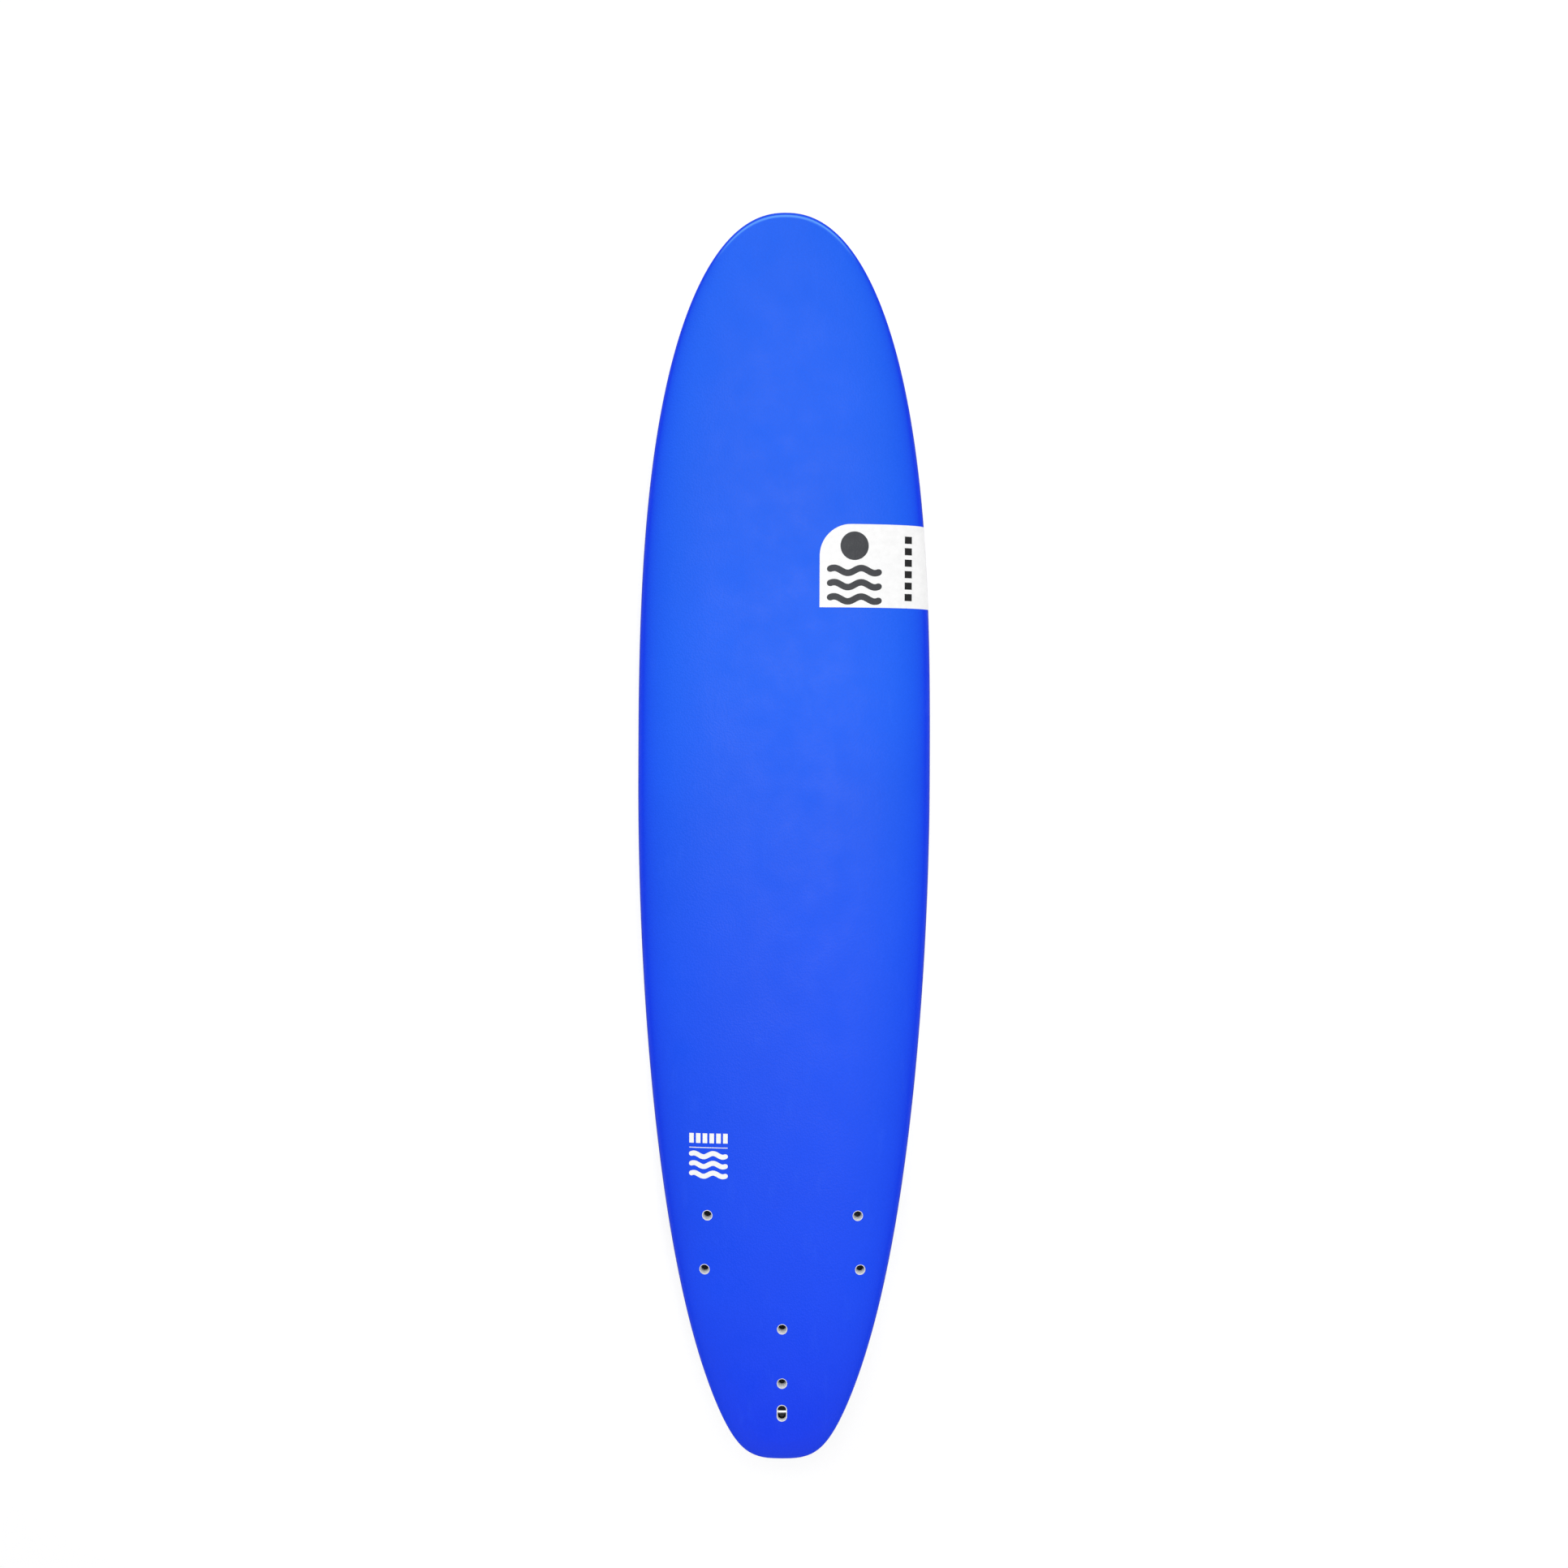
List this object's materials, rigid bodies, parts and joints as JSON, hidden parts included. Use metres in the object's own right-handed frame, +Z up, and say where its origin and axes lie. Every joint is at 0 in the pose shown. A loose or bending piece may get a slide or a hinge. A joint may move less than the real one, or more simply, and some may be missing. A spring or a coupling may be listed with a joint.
{
  "type": "surfboard",
  "caption": "Soft-deck beginner's surfboard with a rounded nose and squash tail, a layered foam blank, a leash plug and removable fins bolted through the board.",
  "frame": {"origin": "the middle of the bounding box, on the floor that the two side fins and the belly rest on", "axes": "+Y towards the nose, +Z up out of the deck (the board lies pitched nose down by about five degrees, as it does on its fins), X across"},
  "size_m": [0.545, 2.2832, 0.1942],
  "materials": {
    "foam": "cut bead foam",
    "stringer": "sawn softwood",
    "laminate": "glass cloth in resin",
    "soft_skin": "closed-cell foam with a fine embossed skin",
    "slick": "smooth extruded sheet",
    "plug": "moulded",
    "steel": "drawn stainless bar",
    "bolt": "dark stainless",
    "washer": "moulded",
    "insert": "turned",
    "fin": "moulded, satin"
  },
  "bodies": {
    "board": {"foam_core_left": "foam", "foam_core_centre": "foam", "foam_core_right": "foam", "stringer_left": "stringer", "stringer_right": "stringer", "deck_laminate": "laminate", "bottom_laminate": "laminate", "deck_skin": "soft_skin", "bottom_skin": "slick", "leash_plug_cup": "plug", "leash_plug_bar": "steel", "deck_plug_left_front": "plug", "deck_plug_left_rear": "plug", "deck_plug_centre_front": "plug", "deck_plug_centre_rear": "plug", "deck_plug_right_front": "plug", "deck_plug_right_rear": "plug", "bottom_plug_left_front": "plug", "bottom_plug_left_rear": "plug", "bottom_plug_centre_front": "plug", "bottom_plug_centre_rear": "plug", "bottom_plug_right_front": "plug", "bottom_plug_right_rear": "plug"},
    "fin_left": {"fin_left": "fin", "fin_insert_left_front": "insert", "fin_insert_left_rear": "insert"},
    "fin_centre": {"fin_centre": "fin", "fin_insert_centre_front": "insert", "fin_insert_centre_rear": "insert"},
    "fin_right": {"fin_right": "fin", "fin_insert_right_front": "insert", "fin_insert_right_rear": "insert"},
    "washer_left_front": {"washer_left_front": "washer"},
    "bolt_left_front": {"bolt_left_front": "bolt"},
    "washer_left_rear": {"washer_left_rear": "washer"},
    "bolt_left_rear": {"bolt_left_rear": "bolt"},
    "washer_centre_front": {"washer_centre_front": "washer"},
    "bolt_centre_front": {"bolt_centre_front": "bolt"},
    "washer_centre_rear": {"washer_centre_rear": "washer"},
    "bolt_centre_rear": {"bolt_centre_rear": "bolt"},
    "washer_right_front": {"washer_right_front": "washer"},
    "bolt_right_front": {"bolt_right_front": "bolt"},
    "washer_right_rear": {"washer_right_rear": "washer"},
    "bolt_right_rear": {"bolt_right_rear": "bolt"}
  },
  "joints": [
    {"name": "fin_left_pull", "type": "slide", "parent": "board", "child": "fin_left", "axis": [0, -0.0846, -0.9964], "range_m": [0, 0.025]},
    {"name": "fin_centre_pull", "type": "slide", "parent": "board", "child": "fin_centre", "axis": [0, -0.0846, -0.9964], "range_m": [0, 0.025]},
    {"name": "fin_right_pull", "type": "slide", "parent": "board", "child": "fin_right", "axis": [0, -0.0846, -0.9964], "range_m": [0, 0.025]},
    {"name": "bolt_left_front_rise", "type": "slide", "parent": "board", "child": "washer_left_front", "axis": [0, 0.0846, 0.9964], "range_m": [0, 0.012]},
    {"name": "bolt_left_front_turn", "type": "hinge", "parent": "washer_left_front", "child": "bolt_left_front", "pos_m": [-0.1387, -0.68838, 0.1399], "axis": [0, 0.0846, 0.9964], "range_deg": [0, 4320]},
    {"name": "bolt_left_rear_rise", "type": "slide", "parent": "board", "child": "washer_left_rear", "axis": [0, 0.0846, 0.9964], "range_m": [0, 0.012]},
    {"name": "bolt_left_rear_turn", "type": "hinge", "parent": "washer_left_rear", "child": "bolt_left_rear", "pos_m": [-0.1435, -0.78821, 0.14608], "axis": [0, 0.0846, 0.9964], "range_deg": [0, 4320]},
    {"name": "bolt_centre_front_rise", "type": "slide", "parent": "board", "child": "washer_centre_front", "axis": [0, 0.0846, 0.9964], "range_m": [0, 0.012]},
    {"name": "bolt_centre_front_turn", "type": "hinge", "parent": "washer_centre_front", "child": "bolt_centre_front", "pos_m": [0, -0.89523, 0.16218], "axis": [0, 0.0846, 0.9964], "range_deg": [0, 4320]},
    {"name": "bolt_centre_rear_rise", "type": "slide", "parent": "board", "child": "washer_centre_rear", "axis": [0, 0.0846, 0.9964], "range_m": [0, 0.012]},
    {"name": "bolt_centre_rear_turn", "type": "hinge", "parent": "washer_centre_rear", "child": "bolt_centre_rear", "pos_m": [0, -0.99551, 0.16909], "axis": [0, 0.0846, 0.9964], "range_deg": [0, 4320]},
    {"name": "bolt_right_front_rise", "type": "slide", "parent": "board", "child": "washer_right_front", "axis": [0, 0.0846, 0.9964], "range_m": [0, 0.012]},
    {"name": "bolt_right_front_turn", "type": "hinge", "parent": "washer_right_front", "child": "bolt_right_front", "pos_m": [0.1387, -0.68838, 0.1399], "axis": [0, 0.0846, 0.9964], "range_deg": [0, 4320]},
    {"name": "bolt_right_rear_rise", "type": "slide", "parent": "board", "child": "washer_right_rear", "axis": [0, 0.0846, 0.9964], "range_m": [0, 0.012]},
    {"name": "bolt_right_rear_turn", "type": "hinge", "parent": "washer_right_rear", "child": "bolt_right_rear", "pos_m": [0.1435, -0.78821, 0.14608], "axis": [0, 0.0846, 0.9964], "range_deg": [0, 4320]}
  ],
  "couplings": [
    {"joint": "bolt_left_front_turn", "follows": "bolt_left_front_rise", "rad_per_m": 6283.2},
    {"joint": "bolt_left_rear_turn", "follows": "bolt_left_rear_rise", "rad_per_m": 6283.2},
    {"joint": "bolt_centre_front_turn", "follows": "bolt_centre_front_rise", "rad_per_m": 6283.2},
    {"joint": "bolt_centre_rear_turn", "follows": "bolt_centre_rear_rise", "rad_per_m": 6283.2},
    {"joint": "bolt_right_front_turn", "follows": "bolt_right_front_rise", "rad_per_m": 6283.2},
    {"joint": "bolt_right_rear_turn", "follows": "bolt_right_rear_rise", "rad_per_m": 6283.2}
  ]
}
